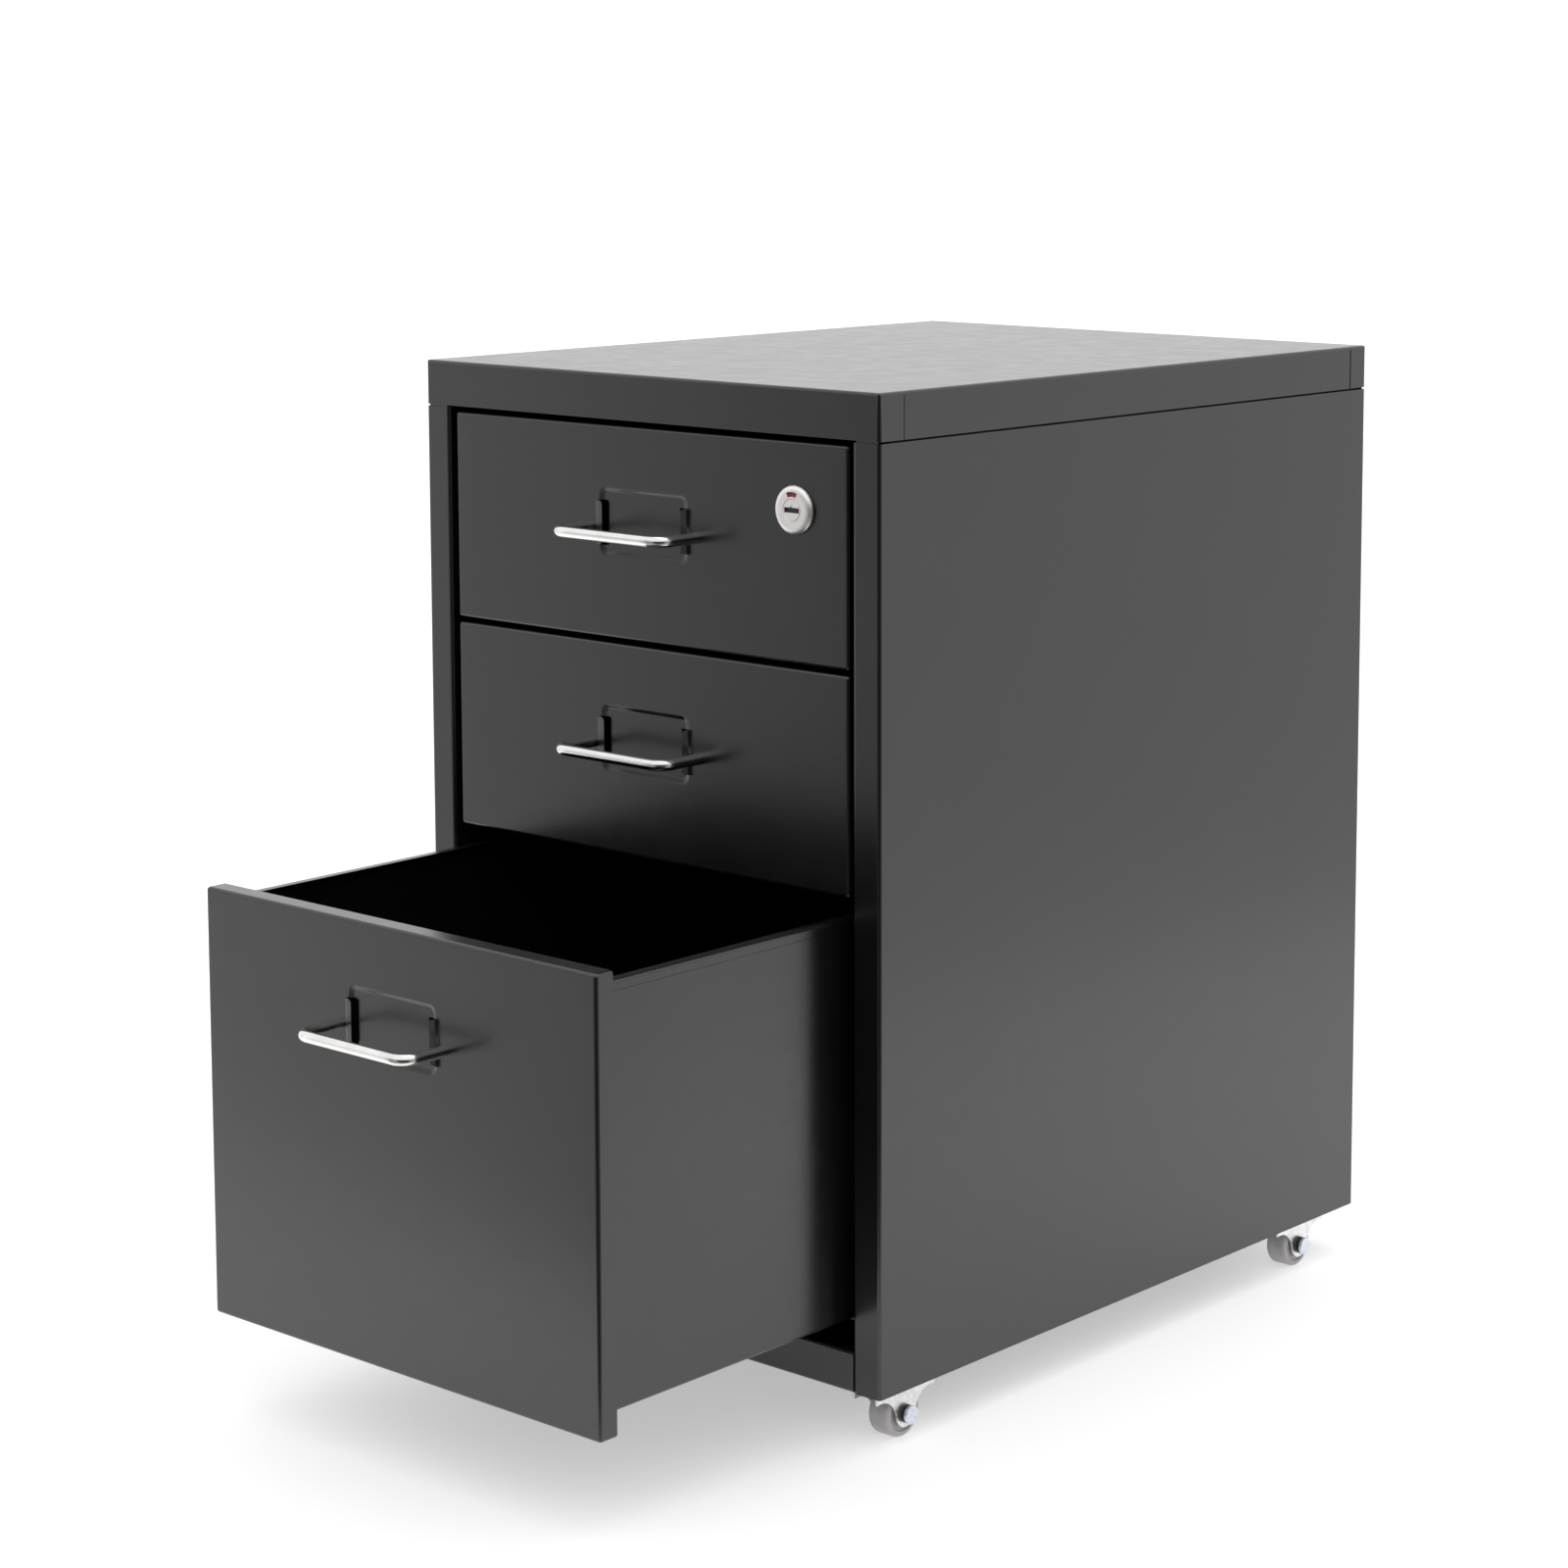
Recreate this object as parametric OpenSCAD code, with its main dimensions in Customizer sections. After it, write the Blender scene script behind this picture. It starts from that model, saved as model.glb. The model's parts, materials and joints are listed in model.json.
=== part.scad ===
// Rolling pedestal cabinet: a case of folded steel sheet on four fixed casters, with two small
// drawers and a deep file drawer that stands partly open.
// The origin is on the floor under the middle of the case. +Z is up and the drawers open towards -Y.

/* [Case] */
// Width across the side panels
case_w = 380; // [370:1:390]
// Depth from the front face to the rear flanges
case_d = 496; // [480:1:510]
// Height from the case's lower edge to the top of the lid
case_h = 592; // [585:1:600]
// Height of the case's lower edge above the floor
ground_gap = 32; // [32:0.5:34]
// Thickness of the steel sheet
sheet = 0.8; // [0.7:0.05:1]
// Outside radius of a fold
fold_r = 2.2; // [1.8:0.1:2.4]
// Height of the lid's flanges
cap_h = 28; // [26:0.5:30]
// Gap between the lid and the side panels
seam = 1.2; // [0.8:0.1:1.4]
// Width of the front uprights
upright_w = 20.5; // [19:0.5:22]
// Depth of the return behind each upright
upright_return = 14; // [12:0.5:15]
// Height of the front bottom rail
rail_h = 25; // [23:0.5:26]

/* [Drawers] */
// Width of a drawer front
front_w = 330; // [326:1:332]
// Height of each small drawer front
small_front_h = 130.5; // [128:0.5:132]
// Depth of the edges folded back round a drawer front
front_return = 13; // [11:0.5:13]
// How far the closed fronts sit behind the face of the case
front_recess = 1.5; // [1:0.5:3]
// Width of the drawer boxes
box_w = 322; // [318:1:323]
// Length of the drawer boxes
box_len = 450; // [430:1:455]
// Travel from closed to the stop
drawer_travel = 330; // [300:5:340]
// How far the file drawer stands open
file_open = 205; // [0:5:300]

/* [Handles] */
// Distance between the centres of a handle's two legs
handle_pitch = 90; // [84:1:96]
// Diameter of the handle rod
handle_rod = 7; // [6:0.5:8]
// Distance from the drawer front to the middle of the grip
handle_reach = 31.5; // [26:0.5:34]

/* [Lock] */
// Diameter of the lock's rose
rose_d = 29; // [28:0.5:30]
// Height of the rose above the drawer front
rose_h = 3.8; // [3.8:0.1:4.6]
// Diameter of the turning plug
plug_d = 13; // [12:0.5:13]

/* [Casters] */
// Diameter of a wheel
wheel_d = 30; // [28:0.5:30]
// Width of a wheel's tread
wheel_w = 15.5; // [14:0.5:16]
// Length of a caster plate, along the depth of the case
caster_len = 52; // [50:1:54]

/* [Hidden] */
$fn = 64;
// A cut runs this far past the face that it opens
over = 1;
// Play between neighbouring sheets, and the hair gap between the sheets of one box
play = 0.5;
hair = 0.1;

// Case
x_out = case_w / 2;
x_in = x_out - upright_w;
x_wall = x_out - sheet;
y_front = -case_d / 2;
y_rear = case_d / 2;
z_base = ground_gap;
z_top = z_base + case_h;
z_lid = z_top - cap_h;
z_seam = z_lid - seam;
corner_clear = fold_r - sheet + hair;

// Joint lines where the lid's front and rear flanges wrap round its corners: their y, width and depth
lap_front = [y_front + 21.5, 0.4];
lap_rear = [y_rear - 19, 0.9];
lap_depth = 0.7 * sheet;

// The front top rail stands this far above the lid's lower edge
rail_up = 1;

// Strips that step in from the side panels and reach up behind the lid's flanges
strip_h = 20;
strip_drop = 3;
strip_in = 5;
strip_y = y_front + 16;

// Drawer fronts, from the top down
top_gap = 3.5;
gap = 3;
file_gap = 6;
y_face = y_front + front_recess;
top_front_z = z_lid - top_gap - small_front_h;
middle_front_z = top_front_z - gap - small_front_h;
file_front_z = z_base + rail_h + gap;
file_front_h = middle_front_z - file_gap - file_front_z;

// Drawer boxes, from the lower edge of their own front
box_rise = 13;
box_drop = 7;
box_out = box_w / 2;
box_flange = 13;
box_hem = 7;
box_y = y_face + sheet;
box_rear = box_y + box_len;

// Runners, from the lower edge of the drawer box
glide_h = 2;
slide_clear = 0.3;
runner_drop = glide_h + slide_clear + sheet;
runner_step = 9;
runner_leg = 13;
guide_clear = 1.4;
runner_y = y_front + upright_return + 2 * play;
runner_len = y_rear - fold_r - play - runner_y;
runner_in = box_out - box_flange;
runner_guide = box_out + guide_clear;
stop_h = 16;
stop_inset = 2;
tooth_w = 9;
tooth_len = 6;
tab_x = 141;
tab_w = 5;
tab_drop = 5;

// What is fitted to a drawer front, down from its upper edge
pad_drop = 59;
pad_w = 74;
pad_h = 42;
pad_r = 6;
pad_sink = 1.2;
lip_x = 36.5;
lip_w = 7;
lip_h = 27;
lip_rise = 2.4;
lip_drop = 60;
handle_drop = 63;
handle_bend = 9;
handle_screw_r = 1.9;
handle_screw_head_r = 4;
handle_screw_head_t = 2.2;
handle_screw_len = 10;

// Lock, with y counted from the drawer front
lock_x = 124.5;
lock_drop = 40;
barrel_r = 8;
barrel_len = 14;
plug_clear = 0.05;
cam_len = 50;
cam_t = 2;
cam_y = 14.5;
cam_hub_r = 7;
cam_tip_r = 5;
tail_r = 3;
pocket_r = 11.3;
pocket_y = [-2.7, -1.1];
indicator_t = 1;
window_r = [8, 10.4];
window_angle = 46;
lock_nut_r = 12;
lock_nut_t = 4;
cam_screw_r = 1.5;
cam_screw_len = 6;

// Casters, with x counted from the outer face of a fork
caster_x = x_out - 5.5;
caster_front_y = y_front + 30;
caster_rear_y = y_rear - 55.5;
fork_t = 1.5;
fork_gap = 16.5;
plate_w = 35.5;
axle_z = wheel_d / 2;
axle_r = 2.5;
wheel_clear = 0.05;
hole_clear = 0.1;
axle_head_r = 5.7;
axle_head_t = 2.2;
axle_tail_r = 4.2;
axle_tail_t = 1.4;
spacer_r = 5.5;
spacer_t = 3;
boss_r = 8.4;
flank_r = 14.3;
flank_drop = 5.2;
caster_screw_r = 2.4;
caster_screw_head_r = 4;
caster_screw_head_t = 1.8;
caster_screw_y = 20;
caster_screw_x = [fork_t + fork_gap / 2, 29];
caster_screw_len = fork_t + 5 * sheet;

// Screws that hold the back panel to the side panels
back_screw_x = x_out - 10;
back_screw_z = [z_base + 40, z_base + 200, z_base + 360, z_base + 520];
back_screw_r = 1.6;
back_screw_head_r = 3.6;
back_screw_head_t = 2;

// Colours
paint = [0.16, 0.16, 0.17];
zinc = [0.78, 0.78, 0.8];
bright = [0.86, 0.86, 0.86];
nylon = [0.72, 0.7, 0.7];
dark_nylon = [0.1, 0.1, 0.1];
dark_steel = [0.2, 0.2, 0.21];
signal_red = [0.7, 0.03, 0.08];

// Each drawer's front: its lower edge, its height, and how far it stands open
TOP = [top_front_z, small_front_h, 0];
MIDDLE = [middle_front_z, small_front_h, 0];
FILE = [file_front_z, file_front_h, file_open];

// ---- shared shapes ----

// A rectangle from one corner to the other, with round corners
module round_rect(a, b, r) {
    translate([a[0] + r, a[1]]) square([b[0] - a[0] - 2 * r, b[1] - a[1]]);
    translate([a[0], a[1] + r]) square([b[0] - a[0], b[1] - a[1] - 2 * r]);
    for (x = [a[0] + r, b[0] - r], y = [a[1] + r, b[1] - r]) translate([x, y]) circle(r);
}

// The section of a closed tube of folded sheet
module sheet_ring(a, b) {
    difference() {
        round_rect(a, b, fold_r);
        round_rect([a[0] + sheet, a[1] + sheet], [b[0] - sheet, b[1] - sheet], fold_r - sheet);
    }
}

// A box from one corner to the other
module block(a, b) {
    translate(a) cube(b - a);
}

// A cylinder along X, Y or Z from a point
module rod_x(from, r, len) {
    translate(from) rotate([0, 90, 0]) cylinder(r = r, h = len);
}

module rod_y(from, r, len) {
    translate(from) rotate([-90, 0, 0]) cylinder(r = r, h = len);
}

// Children drawn in the XZ plane, drawn out along +Y
module along_y(from, len) {
    translate([0, from + len, 0]) rotate([90, 0, 0]) linear_extrude(len) children();
}

// Children drawn in the YZ plane, drawn out along +X
module along_x(from, len) {
    translate([from, 0, 0]) rotate([90, 0, 90]) linear_extrude(len) children();
}

module both_sides() {
    children();
    mirror([1, 0, 0]) children();
}

// ---- case ----

module cap_block(inset) {
    r = fold_r - inset;
    intersection() {
        translate([0, 0, z_lid - over])
            linear_extrude(cap_h + 2 * over)
                round_rect([-x_out + inset, y_front + inset], [x_out - inset, y_rear - inset], r);
        along_y(y_front, case_d)
            round_rect([-x_out + inset, z_lid - 2 * cap_h], [x_out - inset, z_top - inset], r);
        along_x(-x_out, case_w)
            round_rect([y_front + inset, z_lid - 2 * cap_h], [y_rear - inset, z_top - inset], r);
    }
}

module top_cap() {
    color(paint) difference() {
        cap_block(0);
        cap_block(sheet);
        block([-x_out - over, y_front - over, z_lid - 2 * over], [x_out + over, y_rear + over, z_lid]);
        both_sides() for (lap = [lap_front, lap_rear])
            block([x_out - lap_depth, lap[0], z_lid - over], [x_out + over, lap[0] + lap[1], z_top - fold_r]);
    }
}

module front_top_rail() {
    rail_y = y_front + sheet;
    rail_z = z_lid + rail_up;
    depth = 13;
    height = 20;
    lip = 12;
    color(paint) along_x(-x_wall + 2 * sheet, 2 * x_wall - 4 * sheet) difference() {
        sheet_ring([rail_y, rail_z], [rail_y + depth, rail_z + height]);
        translate([rail_y + fold_r, rail_z + lip]) square([depth, height]);
        translate([rail_y - over, rail_z + height - fold_r]) square([depth, height]);
    }
}

// The right side panel: wall, upright with its return, rear flange, floor flange, and the strips
// that close the joints to the lid
module side_panel() {
    color(paint) difference() {
        union() {
            translate([0, 0, z_base]) linear_extrude(z_seam - z_base) difference() {
                sheet_ring([x_in, y_front], [x_out, y_rear]);
                translate([x_in - over, y_front + upright_return])
                    square([over + sheet + hair, case_d - upright_return - fold_r]);
                translate([x_in - over, y_rear - fold_r])
                    square([over + fold_r, fold_r + over]);
            }
            translate([0, 0, z_base]) linear_extrude(sheet)
                round_rect([x_in, y_front], [x_out, y_rear], fold_r);
            stepped_strip();
            block([x_in + fold_r, y_front + sheet, z_seam - strip_h],
                [x_out - fold_r, y_front + 2 * sheet, z_lid + rail_up - hair]);
        }
        caster_screw_holes();
        back_screw_holes();
    }
}

module stepped_strip() {
    step_z = z_seam - strip_drop;
    inner = x_wall - strip_in;
    along_y(strip_y, y_rear - 4 * sheet - strip_y) polygon([
        [x_wall - sheet, z_seam - strip_h], [x_wall, z_seam - strip_h], [x_wall, step_z],
        [inner, step_z], [inner, z_seam + strip_h], [inner - sheet, z_seam + strip_h],
        [inner - sheet, step_z - sheet], [x_wall - sheet, step_z - sheet]
    ]);
}

module left_side_panel() {
    mirror([1, 0, 0]) side_panel();
}

module right_side_panel() {
    side_panel();
}

module back_panel() {
    half = x_wall - corner_clear;
    color(paint) difference() {
        block([-half, y_rear - 2 * sheet, z_base + sheet],
            [half, y_rear - sheet, z_top - sheet - corner_clear]);
        both_sides() back_screw_holes();
    }
}

module back_screw_holes() {
    for (z = back_screw_z)
        rod_y([back_screw_x, y_rear - 4 * sheet, z], back_screw_r + hole_clear, 6 * sheet);
}

module back_screws() {
    color(zinc) both_sides() for (z = back_screw_z) {
        rod_y([back_screw_x, y_rear - 5 * sheet, z], back_screw_r, 5 * sheet);
        rod_y([back_screw_x, y_rear, z], back_screw_head_r, back_screw_head_t);
    }
}

module base_pan() {
    floor_z = z_base + sheet;
    half = x_wall - corner_clear;
    front = y_front + sheet + corner_clear;
    rear = y_rear - 2 * sheet;
    edge_h = 18;
    color(paint) difference() {
        union() {
            block([-half, front, floor_z], [half, rear, floor_z + sheet]);
            both_sides() block([half - sheet, y_front + 1.5 * upright_return, floor_z],
                [half, rear - 2 * corner_clear, floor_z + edge_h]);
            block([-x_in, rear - sheet, floor_z], [x_in, rear, floor_z + edge_h]);
        }
        both_sides() block([x_in - play, y_front, floor_z - over],
            [x_out, y_front + upright_return + play, floor_z + over + sheet]);
        both_sides() caster_screw_holes();
    }
}

// A channel with a slot near each end of its upper flange: the slot's x, y, length and width
module front_bottom_rail() {
    depth = 16;
    lip = 7;
    slot = [142, 6, 16, 4];
    half = x_in - play / 2;
    color(paint) difference() {
        along_x(-half, 2 * half) difference() {
            sheet_ring([y_front, z_base], [y_front + depth, z_base + rail_h]);
            translate([y_front + depth - sheet - hair, z_base + fold_r])
                square([over + sheet, rail_h - lip - fold_r]);
            translate([y_front + depth - fold_r, z_base - over])
                square([over + fold_r, over + fold_r]);
        }
        both_sides() translate([slot[0], y_front + slot[1], z_base + rail_h - 2 * sheet])
            cube([slot[2], slot[3], 3 * sheet]);
        both_sides() caster_screw_holes();
    }
}

// ---- runners ----

// The right runner of a drawer: a leg on the side wall, a step that guides the box, and a ledge
module runner(drawer) {
    s = drawer[0] + box_rise - runner_drop;
    step = s + runner_step;
    stop_y = box_rear + slide_clear;
    tooth_y = box_rear - drawer_travel - 2 * sheet - slide_clear;
    color(paint) union() {
        along_y(runner_y, runner_len) polygon([
            [x_wall - sheet, s - runner_leg], [x_wall, s - runner_leg], [x_wall, step],
            [runner_guide, step], [runner_guide, s + sheet], [runner_in, s + sheet],
            [runner_in, s], [runner_guide + sheet, s], [runner_guide + sheet, step - sheet],
            [x_wall - sheet, step - sheet]
        ]);
        block([runner_in + stop_inset, stop_y, s], [box_out - stop_inset, stop_y + sheet, s + stop_h]);
        block([runner_in - tooth_w, tooth_y - tooth_len, s], [runner_in + over, tooth_y, s + sheet]);
    }
}

module left_runner(drawer) {
    mirror([1, 0, 0]) runner(drawer);
}

// Pads at the front of the ledges, on which the drawer boxes slide
module runner_glides() {
    pad_len = 40;
    color(dark_nylon) both_sides() for (drawer = [TOP, MIDDLE, FILE]) {
        ledge = drawer[0] + box_rise - slide_clear - glide_h;
        block([runner_in + play, runner_y + play, ledge], [box_out, runner_y + pad_len, ledge + glide_h]);
    }
}

// ---- drawers ----

// A drawer's parts are drawn closed and moved out to where the drawer stands
module at_drawer(drawer) {
    translate([0, -drawer[2], 0]) children();
}

// A slab with the edges of its front face rounded: x0 and z0 are its lower left corner
module soft_slab(x0, z0, w, h, y, depth, r) {
    intersection() {
        translate([0, 0, z0]) linear_extrude(h) round_front([x0, y], [x0 + w, y + depth], r);
        along_x(x0, w) round_left([y, z0], [y + depth, z0 + h], r);
    }
}

// A rectangle with its two corners at low Y rounded
module round_front(a, b, r) {
    translate([a[0] + r, a[1]]) square([b[0] - a[0] - 2 * r, b[1] - a[1]]);
    translate([a[0], a[1] + r]) square([b[0] - a[0], b[1] - a[1] - r]);
    for (x = [a[0] + r, b[0] - r]) translate([x, a[1] + r]) circle(r);
}

// A rectangle with its two corners at low X rounded
module round_left(a, b, r) {
    translate([a[0], a[1] + r]) square([b[0] - a[0], b[1] - a[1] - 2 * r]);
    translate([a[0] + r, a[1]]) square([b[0] - a[0] - r, b[1] - a[1]]);
    for (y = [a[1] + r, b[1] - r]) translate([a[0] + r, y]) circle(r);
}

// The label holder's outline, grown by a margin
module pad_outline(z, margin) {
    half = [pad_w / 2 + margin, pad_h / 2 + margin];
    round_rect([-half[0], z - half[1]], [half[0], z + half[1]], pad_r + margin);
}

// A pan of folded sheet. Its label holder is pressed in, and a lip stands over each end of it.
module drawer_front(drawer, with_lock) {
    z0 = drawer[0];
    h = drawer[1];
    half = front_w / 2;
    pad_z = z0 + h - pad_drop;
    lip_z = z0 + h - lip_drop;
    color(paint) at_drawer(drawer) difference() {
        union() {
            difference() {
                union() {
                    difference() {
                        soft_slab(-half, z0, front_w, h, y_face, front_return, fold_r);
                        soft_slab(-half + sheet, z0 + sheet, front_w - 2 * sheet, h - 2 * sheet,
                            y_face + sheet, front_return + over, fold_r - sheet);
                    }
                    along_y(y_face + sheet / 2, pad_sink + sheet / 2) pad_outline(pad_z, sheet);
                }
                along_y(y_face - over, pad_sink + over) pad_outline(pad_z, 0);
            }
            both_sides() block([lip_x - lip_w / 2, y_face - lip_rise, lip_z - lip_h / 2],
                [lip_x + lip_w / 2, y_face, lip_z + lip_h / 2]);
        }
        both_sides() rod_y([handle_pitch / 2, y_face - over - lip_rise, z0 + h - handle_drop],
            handle_screw_r + hole_clear, 4 * sheet + lip_rise);
        if (with_lock)
            rod_y([lock_x, y_face - over, z0 + h - lock_drop], barrel_r + hole_clear, 4 * sheet);
    }
}

// The right side of a drawer box: wall with a line pressed along it, hem, floor flange, and flanges
// to the front and the back
module drawer_side(drawer) {
    bottom = drawer[0] + box_rise;
    top = drawer[0] + drawer[1] - box_drop;
    inner = box_out - box_flange;
    line_drop = 6;
    line_h = 0.6;
    line_depth = 0.3;
    color(paint) at_drawer(drawer) union() {
        along_y(box_y, box_len) difference() {
            sheet_ring([inner, bottom], [box_out, top]);
            translate([box_out - line_depth, top - line_drop]) square([over, line_h]);
            translate([inner - over, bottom + sheet]) square([over + fold_r, top - bottom]);
            translate([inner - over, bottom + 2 * fold_r])
                square([over + box_flange - box_hem, top - bottom]);
            translate([inner - over, bottom - over]) square([over + fold_r, 2 * over]);
        }
        block([inner + fold_r, box_y, bottom], [box_out - sheet / 2, box_y + sheet, top - sheet / 2]);
        block([inner + fold_r, box_rear - sheet, bottom], [box_out - sheet / 2, box_rear, top - sheet / 2]);
    }
}

module left_drawer_side(drawer) {
    mirror([1, 0, 0]) drawer_side(drawer);
}

module drawer_back(drawer) {
    bottom = drawer[0] + box_rise;
    top = drawer[0] + drawer[1] - box_drop;
    ledge = bottom - glide_h - slide_clear - sheet;
    half = box_out - sheet - fold_r;
    y1 = box_rear - sheet;
    color(paint) at_drawer(drawer) union() {
        block([-half, y1 - sheet, bottom + 2 * sheet + hair], [half, y1, top - sheet - hair]);
        both_sides() block([tab_x, y1 - sheet, ledge - tab_drop], [tab_x + tab_w, y1, bottom + 4 * sheet]);
    }
}

module drawer_bottom(drawer) {
    floor_z = drawer[0] + box_rise + sheet;
    half = box_out - sheet - fold_r;
    color(paint) at_drawer(drawer) difference() {
        block([-half, box_y + sheet + hair, floor_z], [half, box_rear - sheet - hair, floor_z + sheet]);
        both_sides() block([tab_x - play, box_rear - 4 * sheet, floor_z - over],
            [tab_x + tab_w + play, box_rear, floor_z + 2 * over]);
    }
}

// Pads under the rear corners of a drawer box
module drawer_glides(drawer) {
    bottom = drawer[0] + box_rise;
    pad_len = 30;
    color(dark_nylon) at_drawer(drawer) both_sides()
        block([runner_in + play, box_rear - pad_len, bottom - glide_h], [box_out, box_rear, bottom]);
}

// A bent rod with a blind hole for a screw in the foot of each leg
module handle(drawer) {
    z = drawer[0] + drawer[1] - handle_drop;
    r = handle_rod / 2;
    leg = handle_reach - handle_bend;
    span = handle_pitch - 2 * handle_bend;
    color(bright) at_drawer(drawer) translate([0, y_face, z]) difference() {
        union() {
            rod_x([-span / 2, -handle_reach, 0], r, span);
            both_sides() {
                rod_y([handle_pitch / 2, -leg, 0], r, leg);
                translate([span / 2, -leg, 0]) rotate([0, 0, -90])
                    rotate_extrude(angle = 90) translate([handle_bend, 0]) circle(r);
            }
        }
        both_sides() rod_y([handle_pitch / 2, -handle_screw_len - over, 0],
            handle_screw_r + hole_clear, handle_screw_len + 2 * over);
    }
}

module handle_screws(drawer) {
    z = drawer[0] + drawer[1] - handle_drop;
    color(zinc) at_drawer(drawer) translate([0, y_face, z]) both_sides() {
        rod_y([handle_pitch / 2, -handle_screw_len, 0], handle_screw_r, handle_screw_len + sheet);
        rod_y([handle_pitch / 2, sheet, 0], handle_screw_head_r, handle_screw_head_t);
    }
}

// ---- lock ----

module at_lock() {
    translate([lock_x, y_face, top_front_z + small_front_h - lock_drop]) children();
}

// A ring sector round the lock's axis, centred on +Z
module lock_sector(r, y, angle) {
    translate([0, y[1], 0]) rotate([90, 0, 0]) rotate([0, 0, 90 - angle / 2])
        rotate_extrude(angle = angle) translate([r[0], 0]) square([r[1] - r[0], y[1] - y[0]]);
}

module lock_housing() {
    rose_r = rose_d / 2;
    rim = 1.2;
    bevel = [[1.2, 2.4], [3.7, rose_h]];
    bore = plug_d / 2 + plug_clear;
    color(bright) at_lock() difference() {
        union() {
            rotate([90, 0, 0]) rotate_extrude() polygon([
                [0, 0], [rose_r, 0], [rose_r, rim], [rose_r - bevel[0][0], bevel[0][1]],
                [rose_r - bevel[1][0], bevel[1][1]], [0, rose_h]
            ]);
            rod_y([0, -over, 0], barrel_r, barrel_len + over);
        }
        rod_y([0, -rose_h - over, 0], bore, rose_h + barrel_len + 2 * over);
        rod_y([0, pocket_y[0], 0], pocket_r, pocket_y[1] - pocket_y[0]);
        lock_sector(window_r, [-rose_h - over, pocket_y[0] + play], window_angle);
    }
}

module lock_nut() {
    color(zinc) at_lock() difference() {
        translate([0, sheet, 0]) rotate([-90, 0, 0]) cylinder(r = lock_nut_r, h = lock_nut_t, $fn = 6);
        rod_y([0, 0, 0], barrel_r + hole_clear, sheet + lock_nut_t + over);
    }
}

module lock_plug() {
    slot = [11, 2.4];
    slot_depth = 6;
    color(bright) at_lock() difference() {
        union() {
            rod_y([0, -rose_h, 0], plug_d / 2, rose_h + cam_y);
            rod_y([0, cam_y - over, 0], tail_r, cam_t + over);
        }
        block([-slot[0] / 2, -rose_h - over, -slot[1] / 2],
            [slot[0] / 2, slot_depth - rose_h, slot[1] / 2]);
        rod_y([0, cam_y + cam_t - cam_screw_len, 0], cam_screw_r, cam_screw_len + over);
    }
}

// The coloured flag that shows in the rose's window
module lock_indicator() {
    mid = (pocket_y[0] + pocket_y[1]) / 2;
    flag_r = [plug_d / 2, pocket_r - play];
    flag_angle = window_angle + 20;
    color(signal_red) at_lock()
        lock_sector(flag_r, [mid - indicator_t / 2, mid + indicator_t / 2], flag_angle);
}

// The cam points across the drawer while it is unlocked
module lock_cam() {
    color(zinc) at_lock() difference() {
        union() {
            rod_y([0, cam_y, 0], cam_hub_r, cam_t);
            block([-cam_len + cam_tip_r, cam_y, -cam_tip_r], [0, cam_y + cam_t, cam_tip_r]);
            rod_y([-cam_len + cam_tip_r, cam_y, 0], cam_tip_r, cam_t);
        }
        rod_y([0, cam_y - over, 0], tail_r, cam_t + 2 * over);
    }
}

module lock_cam_screw() {
    head_r = 4.5;
    head_t = 2;
    color(zinc) at_lock() {
        rod_y([0, cam_y + cam_t - cam_screw_len, 0], cam_screw_r, cam_screw_len);
        rod_y([0, cam_y + cam_t, 0], head_r, head_t);
    }
}

// ---- casters ----

// Children drawn for the right side, x counted inwards from the outer face of the fork
module at_caster(y) {
    translate([caster_x, y, 0]) mirror([1, 0, 0]) children();
}

module each_caster() {
    both_sides() for (y = [caster_front_y, caster_rear_y]) at_caster(y) children();
}

// The four screws of a caster plate, or the holes for them
module screw_pattern(r, z, h) {
    for (x = caster_screw_x, side = [-1, 1])
        translate([x, side * caster_screw_y, z]) cylinder(r = r, h = h);
}

module caster_screw_holes() {
    for (y = [caster_front_y, caster_rear_y]) at_caster(y)
        screw_pattern(caster_screw_r + hole_clear, z_base - fork_t - over, caster_screw_len + over);
}

// The outline of a fork's cheek: hollow flanks run from the plate's ends down to a round boss
module cheek_profile() {
    half = caster_len / 2;
    flank_z = z_base - flank_drop - flank_r;
    rise = axle_z - flank_z;
    flank_y = sqrt(pow(boss_r + flank_r, 2) - pow(rise, 2));
    difference() {
        union() {
            polygon([
                [-half, z_base], [-half, flank_z], [-flank_y, flank_z], [0, axle_z],
                [flank_y, flank_z], [half, flank_z], [half, z_base]
            ]);
            translate([0, axle_z]) circle(boss_r);
        }
        for (side = [-1, 1]) translate([side * flank_y, flank_z]) circle(flank_r);
        translate([0, axle_z]) circle(axle_r + hole_clear);
    }
}

module caster_fork(y) {
    half = caster_len / 2;
    color(zinc) at_caster(y) difference() {
        union() {
            block([0, -half, z_base - fork_t], [plate_w, half, z_base]);
            for (x = [0, fork_t + fork_gap]) along_x(x, fork_t) cheek_profile();
        }
        screw_pattern(caster_screw_r + hole_clear, z_base - fork_t - over, caster_screw_len);
    }
}

module left_fork(y) {
    mirror([1, 0, 0]) caster_fork(y);
}

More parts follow.
